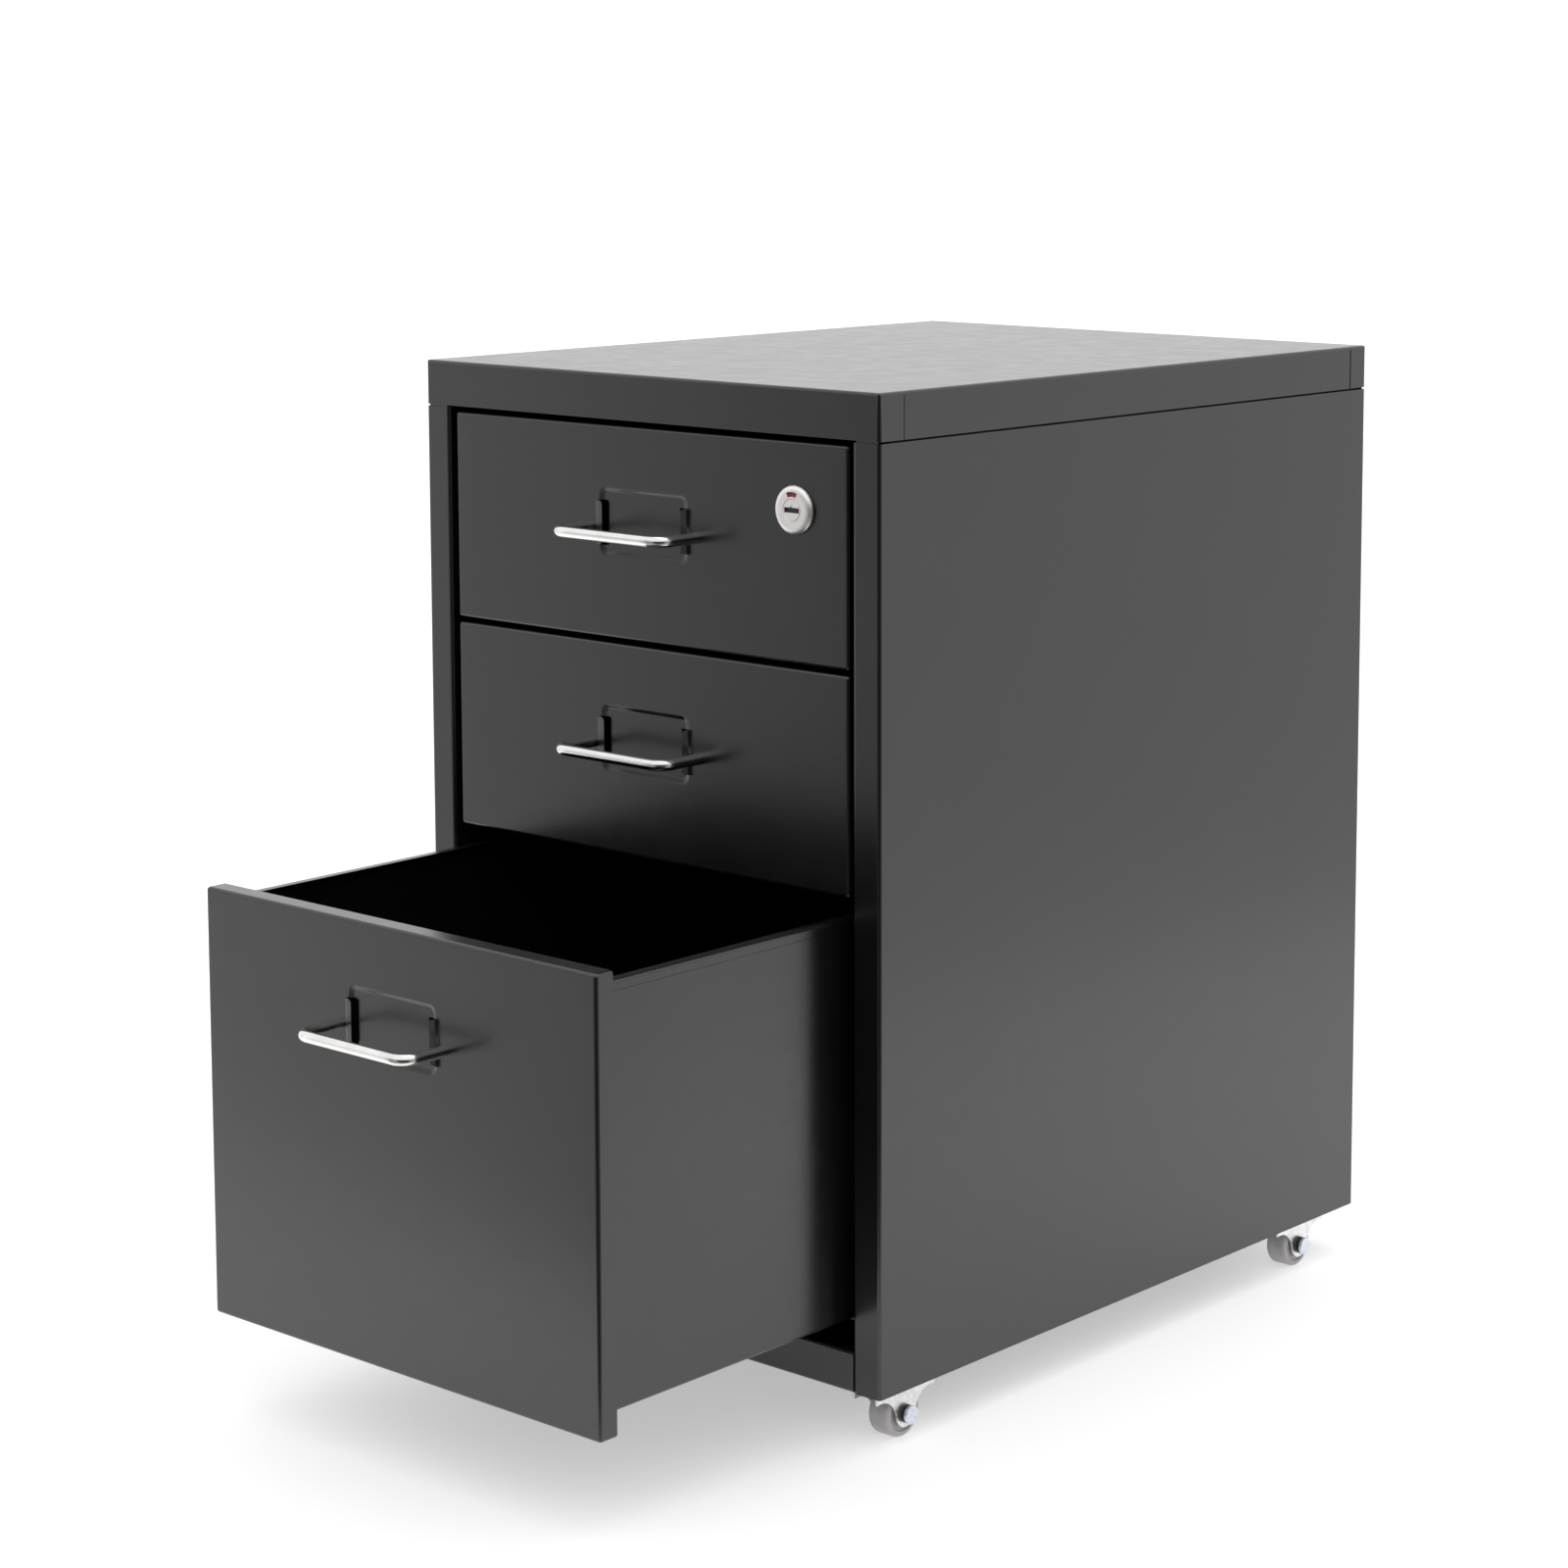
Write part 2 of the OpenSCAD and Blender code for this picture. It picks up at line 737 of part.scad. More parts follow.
module wheel(y) {
    r = wheel_d / 2;
    round_r = 2.5;
    hub_r = 5;
    hub_gap = 0.4;
    hub_w = fork_gap - 2 * hub_gap;
    dish_r = 11.5;
    dish = 1.2;
    middle = fork_t + fork_gap / 2;
    color(nylon) at_caster(y) translate([middle, 0, axle_z]) rotate([0, 90, 0]) difference() {
        rotate_extrude() difference() {
            union() {
                square([r - round_r, wheel_w / 2]);
                translate([0, -wheel_w / 2]) square([r - round_r, wheel_w / 2]);
                translate([0, -wheel_w / 2 + round_r]) square([r, wheel_w - 2 * round_r]);
                for (side = [-1, 1]) translate([r - round_r, side * (wheel_w / 2 - round_r)])
                    circle(round_r);
                translate([0, -hub_w / 2]) square([hub_r, hub_w]);
            }
            for (z = [-wheel_w / 2 - over, wheel_w / 2 - dish]) translate([hub_r, z])
                square([dish_r - hub_r, dish + over]);
            translate([-r, -r]) square([r + axle_r + wheel_clear, 2 * r]);
        }
    }
}

module left_wheel(y) {
    mirror([1, 0, 0]) wheel(y);
}

module caster_axles() {
    tail_x = 2 * fork_t + fork_gap;
    head_x = -spacer_t;
    color(bright) each_caster() union() {
        rod_x([head_x, 0, axle_z], axle_r, tail_x - head_x);
        rod_x([head_x - axle_head_t, 0, axle_z], axle_head_r, axle_head_t);
        rod_x([tail_x, 0, axle_z], axle_tail_r, axle_tail_t);
    }
}

module caster_spacers() {
    color(dark_steel) each_caster() difference() {
        rod_x([-spacer_t, 0, axle_z], spacer_r, spacer_t);
        rod_x([-spacer_t - over, 0, axle_z], axle_r + hole_clear, spacer_t + 2 * over);
    }
}

module caster_screws() {
    color(zinc) each_caster() {
        screw_pattern(caster_screw_r, z_base - fork_t, caster_screw_len);
        screw_pattern(caster_screw_head_r, z_base - fork_t - caster_screw_head_t, caster_screw_head_t);
    }
}

// ---- output ----

top_cap();
front_top_rail();
left_side_panel();
right_side_panel();
back_panel();
base_pan();
front_bottom_rail();
back_screws();
left_runner(TOP);  // top_left_runner
runner(TOP);  // top_right_runner
left_runner(MIDDLE);  // middle_left_runner
runner(MIDDLE);  // middle_right_runner
left_runner(FILE);  // bottom_left_runner
runner(FILE);  // bottom_right_runner
runner_glides();
drawer_front(TOP, true);  // top_drawer_front
left_drawer_side(TOP);  // top_drawer_left_side
drawer_side(TOP);  // top_drawer_right_side
drawer_back(TOP);  // top_drawer_back
drawer_bottom(TOP);  // top_drawer_bottom
handle(TOP);  // top_drawer_handle
handle_screws(TOP);  // top_drawer_handle_screws
drawer_glides(TOP);  // top_drawer_glides
drawer_front(MIDDLE, false);  // middle_drawer_front
left_drawer_side(MIDDLE);  // middle_drawer_left_side
drawer_side(MIDDLE);  // middle_drawer_right_side
drawer_back(MIDDLE);  // middle_drawer_back
drawer_bottom(MIDDLE);  // middle_drawer_bottom
handle(MIDDLE);  // middle_drawer_handle
handle_screws(MIDDLE);  // middle_drawer_handle_screws
drawer_glides(MIDDLE);  // middle_drawer_glides
drawer_front(FILE, false);  // bottom_drawer_front
left_drawer_side(FILE);  // bottom_drawer_left_side
drawer_side(FILE);  // bottom_drawer_right_side
drawer_back(FILE);  // bottom_drawer_back
drawer_bottom(FILE);  // bottom_drawer_bottom
handle(FILE);  // bottom_drawer_handle
handle_screws(FILE);  // bottom_drawer_handle_screws
drawer_glides(FILE);  // bottom_drawer_glides
lock_housing();
lock_nut();
lock_plug();
lock_indicator();
lock_cam();
lock_cam_screw();
left_fork(caster_front_y);  // front_left_caster_fork
caster_fork(caster_front_y);  // front_right_caster_fork
left_fork(caster_rear_y);  // rear_left_caster_fork
caster_fork(caster_rear_y);  // rear_right_caster_fork
left_wheel(caster_front_y);  // front_left_wheel
wheel(caster_front_y);  // front_right_wheel
left_wheel(caster_rear_y);  // rear_left_wheel
wheel(caster_rear_y);  // rear_right_wheel
caster_axles();
caster_spacers();
caster_screws();
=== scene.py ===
"""Rolling pedestal cabinet: the visual model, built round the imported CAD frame.

Lengths are in metres. +X is the cabinet's right seen from the front, the drawers open towards -Y,
and +Z is up. The pieces built here stand in for CAD nodes and take their places from those nodes'
boxes. Every other CAD node stays, and gets a material and eased edges.
"""

import json
import math
from collections import namedtuple

import bmesh
import bpy
from mathutils import Matrix, Vector


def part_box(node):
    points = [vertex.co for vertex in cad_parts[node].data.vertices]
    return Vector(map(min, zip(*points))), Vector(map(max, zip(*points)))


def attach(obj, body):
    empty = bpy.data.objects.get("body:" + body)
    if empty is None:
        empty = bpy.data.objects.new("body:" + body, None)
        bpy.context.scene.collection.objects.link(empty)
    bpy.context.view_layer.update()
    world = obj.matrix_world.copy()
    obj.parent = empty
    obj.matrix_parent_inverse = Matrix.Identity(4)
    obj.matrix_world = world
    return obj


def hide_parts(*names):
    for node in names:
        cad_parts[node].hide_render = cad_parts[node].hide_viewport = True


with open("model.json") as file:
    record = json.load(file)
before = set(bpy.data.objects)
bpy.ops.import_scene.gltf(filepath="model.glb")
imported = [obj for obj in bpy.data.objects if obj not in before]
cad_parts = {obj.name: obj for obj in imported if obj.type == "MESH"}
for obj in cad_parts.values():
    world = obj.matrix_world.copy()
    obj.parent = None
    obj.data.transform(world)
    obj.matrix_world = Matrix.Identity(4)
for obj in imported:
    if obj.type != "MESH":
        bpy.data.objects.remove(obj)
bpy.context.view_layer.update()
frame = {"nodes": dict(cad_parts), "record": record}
scene = bpy.context.scene
nodes = frame["nodes"]

MM = 0.001
X, Y, Z = Vector((1, 0, 0)), Vector((0, 1, 0)), Vector((0, 0, 1))
DRAWERS = ("top", "middle", "bottom")
CORNERS = [(end, side) for end in ("front", "rear") for side in ("left", "right")]

# Lengths that differ by less than this are equal, and vertices closer than WELD become one
EPSILON = 1e-7
WELD = 0.001 * MM

# ---- sizes that the CAD nodes' boxes don't give ----

# The steel sheet, the outside radius of its folds, and the depth of a drawer front's edges
SHEET = 0.8 * MM
FOLD = 2.2 * MM
FRONT_RETURN = 13 * MM

# The label holder pressed into a drawer front. A drop is measured down from the front's top edge
PAD_DROP = 59 * MM
PAD_SIZE = (74 * MM, 42 * MM)
PAD_CORNER = 6 * MM
PAD_SINK = 1.0 * MM
PAD_SLOPE = 3.2 * MM

# Its two ears reach in from EAR_ROOT to EAR_FREE, over openings that reach in to EAR_SLOT
EAR_DROP = 60 * MM
EAR_HEIGHT = 27 * MM
EAR_ROOT = 40 * MM
EAR_FREE = 33 * MM
EAR_CORNER = 3 * MM
EAR_SLOT = 30.3 * MM
EAR_SLIT = 0.15 * MM
# An ear rises this far, most of it in a joggle next to the root
EAR_RISE = 2.2 * MM
JOGGLE_SHARE = 0.65
JOGGLE_RUN = 0.4

# The mesh of a drawer front: its coarse and fine grids, and how far the fine one runs past the pad
GRID = 12 * MM
FINE_GRID = 0.75 * MM
FINE_MARGIN = (4 * MM, 3 * MM)

# Half widths of the holes for a handle's screws and for the lock
SCREW_HOLE = 2 * MM
LOCK_HOLE = 8.2 * MM

# A handle: the distance between its legs, and the radii of its bends and its rod
HANDLE_DROP = 63 * MM
HANDLE_PITCH = 90 * MM
HANDLE_BEND = 9 * MM
ROD = 3.5 * MM

# The lock: radii of its plug and its barrel, the window by radii and angle, and the key slot's size
PLUG = 6.5 * MM
BARREL = 8 * MM
WINDOW = (7.9 * MM, 10.7 * MM)
WINDOW_ANGLE = math.radians(46)
KEY_SLOT = (11.4 * MM, 3.0 * MM)
# Where the rose's rounded edge starts above the drawer front, and how far in it reaches
ROSE_EDGE = (1.0 * MM, 3.7 * MM)

# A caster's fork: its plate, the gap between its cheeks, and a cheek's round boss and hollow flanks
PLATE = 1.5 * MM
PLATE_BEND = 2.2 * MM
CHEEK_GAP = 16.5 * MM
BOSS = 8.4 * MM
FLANK = 14.3 * MM
FLANK_DROP = 5.2 * MM
# Its axle and wheel. AXLE_HEAD and SPACER are a radius and a thickness
AXLE = 2.5 * MM
AXLE_HEAD = (5.7 * MM, 2.2 * MM)
SPACER = (5.5 * MM, 3.0 * MM)
TREAD = 15.5 * MM
# Where the plate's screws sit: inward of the fork's outer face, and either side of the axle
PLATE_SCREW_IN = (9.75 * MM, 29 * MM)
PLATE_SCREW_ALONG = 20 * MM

# A screw's head by radius and thickness, and its shank by radius and length
Screw = namedtuple("Screw", "head_r head_t shank_r shank_len")
PLATE_SCREW = Screw(4 * MM, 1.8 * MM, 2.4 * MM, 5.5 * MM)
PANEL_SCREW = Screw(3.6 * MM, 2 * MM, 1.6 * MM, 4 * MM)
HANDLE_SCREW = Screw(4 * MM, 2.2 * MM, 1.9 * MM, 10.5 * MM)

# How far the cut edges of each kind of piece are eased
CAD_EDGE = 0.15 * MM
FRONT_EDGE = 0.12 * MM
ROSE_CUT = 0.12 * MM
PLUG_CUT = 0.1 * MM
FORK_EDGE = 0.2 * MM
# An edge that turns by more than the first is eased, and by more than the second is shaded sharp
EASE_ANGLE = math.radians(35)
SHARP_ANGLE = math.radians(40)

# Sides of the round things
ROSE_SIDES = 96
WHEEL_SIDES = 72
PLUG_SIDES = 72
AXLE_SIDES = 56
SPACER_SIDES = 48
ROD_SIDES = 32
SCREW_SIDES = 32

# ---- the studio ----

# Brightness of the walls, as a share of the whole, by the cosine of the angle from the front right
FRONT_RIGHT = (0.645, -0.764, 0)
WALLS = (
    (-1.0, 1.0), (-0.7, 0.85), (-0.3, 0.73), (-0.15, 0.74), (-0.04, 0.98), (0.07, 0.58),
    (0.16, 0.28), (0.3, 0.25), (0.75, 0.26), (0.9, 0.04), (1.0, 0.03),
)
CEILING = 0.82
# The heights, as a share of the way up, between which the walls turn into the ceiling
CEILING_FROM = 0.15
CEILING_TO = 0.55
BRIGHTNESS = 1.25

# The floor is a disc that reaches further behind the cabinet and to its left
FLOOR_RADIUS = 1.4
FLOOR_MIDDLE = (-0.55, 0.56, 0)
FLOOR_GLOW = 0.44

CAMERA_PLACE = (1.5250, -1.7813, 0.7998)
CAMERA_YAW, CAMERA_PITCH, CAMERA_ROLL = (math.radians(t) for t in (40.214, 7.097, -0.08))
LENS = 82.85
LENS_SHIFT = (-0.094, -0.1625)
SENSOR = 36
FAR_CLIP = 100


# ---- materials ----

# The range in which most of a noise's values lie
NOISE_LOW, NOISE_HIGH = 0.3, 0.7


def add_node(tree, kind, links=(), inputs=None, **settings):
    """Adds a shader node. links pairs its sockets with their sources, and inputs gives sockets values."""
    node = tree.nodes.new(kind)
    for key, value in settings.items():
        setattr(node, key, value)
    for socket, value in (inputs or {}).items():
        node.inputs[socket].default_value = value
    for socket, source in links:
        tree.links.new(source, node.inputs[socket])
    return node


class Shade:
    """A node material under construction, with a Principled shader."""

    def __init__(self, name, **sockets):
        self.material = bpy.data.materials.new(name)
        self.material.use_nodes = True
        self.tree = self.material.node_tree
        self.shader = self.tree.nodes["Principled BSDF"]
        for socket, value in sockets.items():
            title = socket.replace("_", " ").title().replace("Ior", "IOR")
            self.shader.inputs[title].default_value = value
        self.place = self.add("ShaderNodeTexCoord").outputs["Object"]

    def add(self, kind, links=(), inputs=None):
        return add_node(self.tree, kind, links, inputs)

    def noise(self, size, detail=2.0, stretch=(1, 1, 1)):
        """Noise whose blotches are about size across, stretched along an axis by a factor below 1."""
        scaled = self.add("ShaderNodeMapping", [("Vector", self.place)], {"Scale": stretch})
        inputs = {"Scale": 1 / size, "Detail": detail}
        return self.add("ShaderNodeTexNoise", [("Vector", scaled.outputs[0])], inputs).outputs[0]

    def tint(self, source, dark, light):
        """Base colour between dark and light, over the range of a noise."""
        ramp = self.add("ShaderNodeValToRGB", [("Fac", source)])
        ends = ((NOISE_LOW, dark), (NOISE_HIGH, light))
        for element, (position, colour) in zip(ramp.color_ramp.elements, ends):
            element.position = position
            element.color = (*colour, 1)
        self.tree.links.new(ramp.outputs[0], self.shader.inputs["Base Color"])

    def roughen(self, source, low, high):
        """Roughness between low and high, over the range of a noise."""
        inputs = {"From Min": NOISE_LOW, "From Max": NOISE_HIGH, "To Min": low, "To Max": high}
        spread = self.add("ShaderNodeMapRange", [("Value", source)], inputs)
        self.tree.links.new(spread.outputs[0], self.shader.inputs["Roughness"])

    def bump(self, *layers):
        """Each layer is a height source and the depth that it stands for."""
        normal = None
        for source, depth in layers:
            links = [("Height", source)] + ([("Normal", normal)] if normal else [])
            inputs = {"Strength": 1.0, "Distance": depth}
            normal = self.add("ShaderNodeBump", links, inputs).outputs[0]
        self.tree.links.new(normal, self.shader.inputs["Normal"])


def powder_coat():
    """Satin charcoal powder coat: a fine orange peel, over sheet that is very slightly wavy."""
    shade = Shade("black_paint", specular_ior_level=0.85)
    peel = shade.noise(1.6 * MM, 1)
    shade.tint(shade.noise(60 * MM, 4), (0.0045, 0.0045, 0.0048), (0.0065, 0.0065, 0.0069))
    shade.roughen(shade.noise(14 * MM, 2), 0.24, 0.27)
    shade.bump((peel, 0.002 * MM), (shade.noise(90 * MM, 1), 0.08 * MM))
    return shade.material


def chrome():
    """Bright plate with a faint haze of handling, and hairline scratches along the rod."""
    shade = Shade("chrome", metallic=1.0)
    shade.tint(shade.noise(12 * MM), (0.80, 0.78, 0.765), (0.88, 0.865, 0.85))
    shade.roughen(shade.noise(5 * MM, 4), 0.10, 0.17)
    shade.bump((shade.noise(0.5 * MM, 3, (0.05, 1, 1)), 0.002 * MM))
    return shade.material


def lock_nickel():
    """Satin nickel plate, a little warm."""
    shade = Shade("lock_nickel", metallic=1.0)
    shade.tint(shade.noise(4 * MM), (0.92, 0.89, 0.875), (0.98, 0.95, 0.935))
    shade.roughen(shade.noise(2 * MM, 4), 0.36, 0.44)
    shade.bump((shade.noise(0.4 * MM, 3), 0.004 * MM))
    return shade.material


def zinc():
    """Bright zinc plate over stamped steel: mottled, with fine rolling marks."""
    shade = Shade("zinc", metallic=1.0)
    shade.tint(shade.noise(3 * MM, 5), (0.66, 0.655, 0.655), (0.86, 0.85, 0.85))
    shade.roughen(shade.noise(2 * MM, 4), 0.24, 0.38)
    shade.bump((shade.noise(0.6 * MM, 4, (1, 0.2, 1)), 0.006 * MM))
    return shade.material


def bright_steel():
    """The blue-white zinc of the axles."""
    shade = Shade("bright_steel", metallic=1.0)
    shade.tint(shade.noise(2 * MM, 4), (0.60, 0.66, 0.73), (0.76, 0.82, 0.89))
    shade.roughen(shade.noise(1.5 * MM, 4), 0.30, 0.42)
    shade.bump((shade.noise(0.5 * MM, 3), 0.006 * MM))
    return shade.material


def dark_steel():
    """Black oxide, worn patchy."""
    shade = Shade("dark_steel", metallic=1.0)
    shade.tint(shade.noise(2 * MM, 4), (0.05, 0.05, 0.053), (0.12, 0.12, 0.12))
    shade.roughen(shade.noise(1.5 * MM, 4), 0.35, 0.5)
    shade.bump((shade.noise(0.6 * MM, 3), 0.008 * MM))
    return shade.material


def grey_nylon():
    """Moulded nylon with a fine grain, and a little light that passes through it."""
    shade = Shade("grey_nylon", subsurface_weight=0.08, subsurface_radius=(2 * MM, 2 * MM, 2 * MM))
    shade.tint(shade.noise(6 * MM, 4), (0.36, 0.345, 0.345), (0.43, 0.415, 0.41))
    shade.roughen(shade.noise(3 * MM, 3), 0.38, 0.5)
    shade.bump((shade.noise(0.7 * MM, 3), 0.01 * MM))
    return shade.material


def black_nylon():
    """Matt black nylon, for the glide pads, and for the block of painted shade in the lock's key slot."""
    shade = Shade("black_nylon")
    shade.tint(shade.noise(5 * MM, 3), (0.015, 0.015, 0.015), (0.024, 0.024, 0.024))
    shade.roughen(shade.noise(2 * MM, 3), 0.42, 0.58)
    shade.bump((shade.noise(0.6 * MM, 3), 0.01 * MM))
    return shade.material


def red_lacquer():
    """The lock's red flag, under a clear coat."""
    shade = Shade("red_flag", coat_weight=0.5, coat_roughness=0.08)
    shade.tint(shade.noise(2 * MM, 2), (0.30, 0.003, 0.014), (0.38, 0.005, 0.02))
    shade.roughen(shade.noise(2 * MM, 3), 0.25, 0.35)
    shade.bump((shade.noise(0.8 * MM, 2), 0.003 * MM))
    return shade.material


MATERIALS = {
    "black_paint": powder_coat(),
    "chrome": chrome(),
    "lock_nickel": lock_nickel(),
    "zinc": zinc(),
    "bright_steel": bright_steel(),
    "dark_steel": dark_steel(),
    "grey_nylon": grey_nylon(),
    "black_nylon": black_nylon(),
    "red_flag": red_lacquer(),
}


# ---- mesh building ----

# The CAD nodes that a piece stands in for
replaced_nodes = set()


def crease(obj, width):
    """Eases the cut edges of a piece and evens its shading."""
    bevel = obj.modifiers.new("edges", "BEVEL")
    bevel.width = width
    bevel.segments = 2
    bevel.limit_method = "ANGLE"
    bevel.angle_limit = EASE_ANGLE
    bevel.use_clamp_overlap = True
    even = obj.modifiers.new("shading", "WEIGHTED_NORMAL")
    even.keep_sharp = True


def thicken(obj, thickness):
    """Gives a surface its thickness, away from the side that its normals point to."""
    sheet = obj.modifiers.new("sheet", "SOLIDIFY")
    sheet.thickness = thickness
    sheet.offset = -1
    sheet.use_even_offset = True


def add_piece(name, mesh, slot, body, node, edge=0.0, thickness=0.0):
    """Puts a mesh in the scene, as the piece that stands for a CAD node."""
    obj = bpy.data.objects.new(name, mesh)
    scene.collection.objects.link(obj)
    mesh.materials.append(MATERIALS[slot])
    mesh.shade_smooth()
    mesh.set_sharp_from_angle(angle=SHARP_ANGLE)
    if thickness:
        thicken(obj, thickness)
    if edge:
        crease(obj, edge)
    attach(obj, body)
    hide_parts(node)
    replaced_nodes.add(node)


def to_mesh(name, bm):
    bmesh.ops.recalc_face_normals(bm, faces=bm.faces)
    mesh = bpy.data.meshes.new(name)
    bm.to_mesh(mesh)
    bm.free()
    return mesh


def baked(obj):
    """A new mesh of an object as its modifiers leave it."""
    bpy.context.view_layer.update()
    return bpy.data.meshes.new_from_object(obj.evaluated_get(bpy.context.evaluated_depsgraph_get()))


def steps(a, b, count):
    return [a + (b - a) * i / count for i in range(count + 1)]


def arc(centre, radius, start, end, count):
    """Points on an arc, with angles in degrees."""
    angles = [math.radians(t) for t in steps(start, end, count)]
    return [(centre[0] + radius * math.cos(t), centre[1] + radius * math.sin(t)) for t in angles]


def smoothstep(t):
    t = min(max(t, 0.0), 1.0)
    return t * t * (3 - 2 * t)


def bridge(bm, first, second, closed=True):
    """Faces between two rows of vertices. A vertex that comes twice in a face counts once."""
    for k in range(len(first) if closed else len(first) - 1):
        m = (k + 1) % len(first)
        corners = list(dict.fromkeys((first[k], first[m], second[m], second[k])))
        if len(corners) > 2:
            bm.faces.new(corners)


def lathe(bm, profile, origin, axis, count):
    """Turns a profile of (radius, height) points round an axis.

    The profile is closed unless it starts and ends on the axis.
    """
    side = axis.orthogonal().normalized()
    other = axis.cross(side)
    turns = [2 * math.pi * i / count for i in range(count)]
    rings = []
    for radius, height in profile:
        middle = origin + axis * height
        if radius < EPSILON:
            rings.append([bm.verts.new(middle)] * count)
            continue
        rings.append([bm.verts.new(middle + (side * math.cos(t) + other * math.sin(t)) * radius)
                      for t in turns])
    for low, high in zip(rings, rings[1:]):
        bridge(bm, low, high)
    if profile[0][0] > EPSILON and profile[-1][0] > EPSILON:
        bridge(bm, rings[-1], rings[0])


def sweep(bm, path, radius, count):
    """A round rod along a level path of points, with flat ends."""
    rings = []
    turns = [2 * math.pi * k / count for k in range(count)]
    for i, point in enumerate(path):
        ahead = path[min(i + 1, len(path) - 1)] - path[max(i - 1, 0)]
        side = ahead.normalized().cross(Z).normalized()
        rings.append([bm.verts.new(point + (side * math.cos(t) + Z * math.sin(t)) * radius)
                      for t in turns])
    for low, high in zip(rings, rings[1:]):
        bridge(bm, low, high)
    bm.faces.new(rings[0])
    bm.faces.new(rings[-1])


def brick(size, centre):
    bm = bmesh.new()
    bmesh.ops.create_cube(bm, size=1)
    bmesh.ops.scale(bm, vec=size, verts=bm.verts)
    bmesh.ops.translate(bm, vec=centre, verts=bm.verts)
    return bm


def cut_mesh(mesh, *cutters):
    """The mesh with each closed cutter taken out of it, one after the other."""
    blank = bpy.data.objects.new("blank", mesh)
    scene.collection.objects.link(blank)
    for cutter_bm in cutters:
        cutter = bpy.data.objects.new("cutter", to_mesh("cutter", cutter_bm))
        scene.collection.objects.link(cutter)
        boolean = blank.modifiers.new("cut", "BOOLEAN")
        boolean.object = cutter
        boolean.operation = "DIFFERENCE"
        boolean.solver = "EXACT"
        whole = baked(blank)
        blank.modifiers.remove(boolean)
        bpy.data.objects.remove(cutter)
        blank.data = whole
    result = blank.data
    bpy.data.objects.remove(blank)
    return result


# ---- drawer fronts ----


def pad_sink(x, z, pad_z):
    """How far the label holder is pressed in at a point: a rounded rectangle with soft slopes."""
    qx = abs(x) - PAD_SIZE[0] / 2 + PAD_CORNER
    qz = abs(z - pad_z) - PAD_SIZE[1] / 2 + PAD_CORNER
    outside = math.hypot(max(qx, 0), max(qz, 0)) + min(max(qx, qz), 0) - PAD_CORNER
    return PAD_SINK * smoothstep(-outside / PAD_SLOPE)


def grid_lines(low, high, marks, fine_low, fine_high):
    """Grid lines from low to high, fine in one stretch, that also run through every mark."""
    mark_clear = 0.45 * FINE_GRID
    least_step = 0.05 * MM
    values = set(steps(low, high, round((high - low) / GRID)))
    values |= set(steps(fine_low, fine_high, round((fine_high - fine_low) / FINE_GRID)))
    clear = [v for v in values if all(abs(v - m) > mark_clear for m in marks)]
    kept = []
    for value in sorted([*clear, *marks, low, high]):
        if not kept or value - kept[-1] > least_step:
            kept.append(value)
    return kept


def in_hole(x, z, hole):
    """Whether a point is inside a hole, given as two x and two z."""
    x0, x1, z0, z1 = hole
    return x0 + EPSILON < x < x1 - EPSILON and z0 + EPSILON < z < z1 - EPSILON


def flat_face(bm, low, high, face_y, holes, ear_z):
    """The flat of a drawer front, with its label holder pressed in, less the given holes.

    Returns its vertices, column by column, and the height of each row.
    """
    pad_z = high.z - PAD_DROP
    marks_x = [m for h in holes for m in h[:2]] + [-EAR_ROOT, EAR_ROOT]
    marks_z = [m for h in holes for m in h[2:]] + list(ear_z)
    reach_x = PAD_SIZE[0] / 2 + FINE_MARGIN[0]
    reach_z = PAD_SIZE[1] / 2 + FINE_MARGIN[1]
    xs = grid_lines(low.x + FOLD, high.x - FOLD, marks_x, -reach_x, reach_x)
    zs = grid_lines(low.z + FOLD, high.z - FOLD, marks_z, pad_z - reach_z, pad_z + reach_z)
    grid = [[bm.verts.new((x, face_y + pad_sink(x, z, pad_z), z)) for z in zs] for x in xs]
    for i in range(len(xs) - 1):
        for j in range(len(zs) - 1):
            x, z = (xs[i] + xs[i + 1]) / 2, (zs[j] + zs[j + 1]) / 2
            if not any(in_hole(x, z, hole) for hole in holes):
                bm.faces.new((grid[i][j], grid[i + 1][j], grid[i + 1][j + 1], grid[i][j + 1]))
    return grid, zs


def fold_back(bm, grid):
    """Folds the edges of a flat face back all round, and fans the folds round its corners."""
    # The face's edge, with the direction in which each point's fold leans, in degrees
    edge = [(column[0], 270) for column in grid]
    edge += [(vert, 0) for vert in grid[-1]]
    edge += [(column[-1], 90) for column in reversed(grid)]
    edge += [(vert, 180) for vert in reversed(grid[0])]
    around = []
    for (vert, lean), (_, next_lean) in zip(edge, edge[1:] + edge[:1]):
        around.append((vert, lean))
        if next_lean != lean:
            around += [(vert, lean + fan) for fan in (22.5, 45, 67.5)]
    # How far each ring is bent, in degrees, and how far past the bend it stands
    fold_steps = 6
    rings = [(bend, 0) for bend in steps(0, 90, fold_steps)[1:]] + [(90, FRONT_RETURN - FOLD)]
    ring = [vert for vert, _ in around]
    for bend, past in rings:
        t = math.radians(bend)
        back = Y * (FOLD * (1 - math.cos(t)) + past)
        fresh = []
        for vert, lean in around:
            out = Vector((math.cos(math.radians(lean)), 0, math.sin(math.radians(lean))))
            fresh.append(bm.verts.new(vert.co + out * FOLD * math.sin(t) + back))
        bridge(bm, ring, fresh)
        ring = fresh
    bmesh.ops.remove_doubles(bm, verts=bm.verts, dist=WELD)


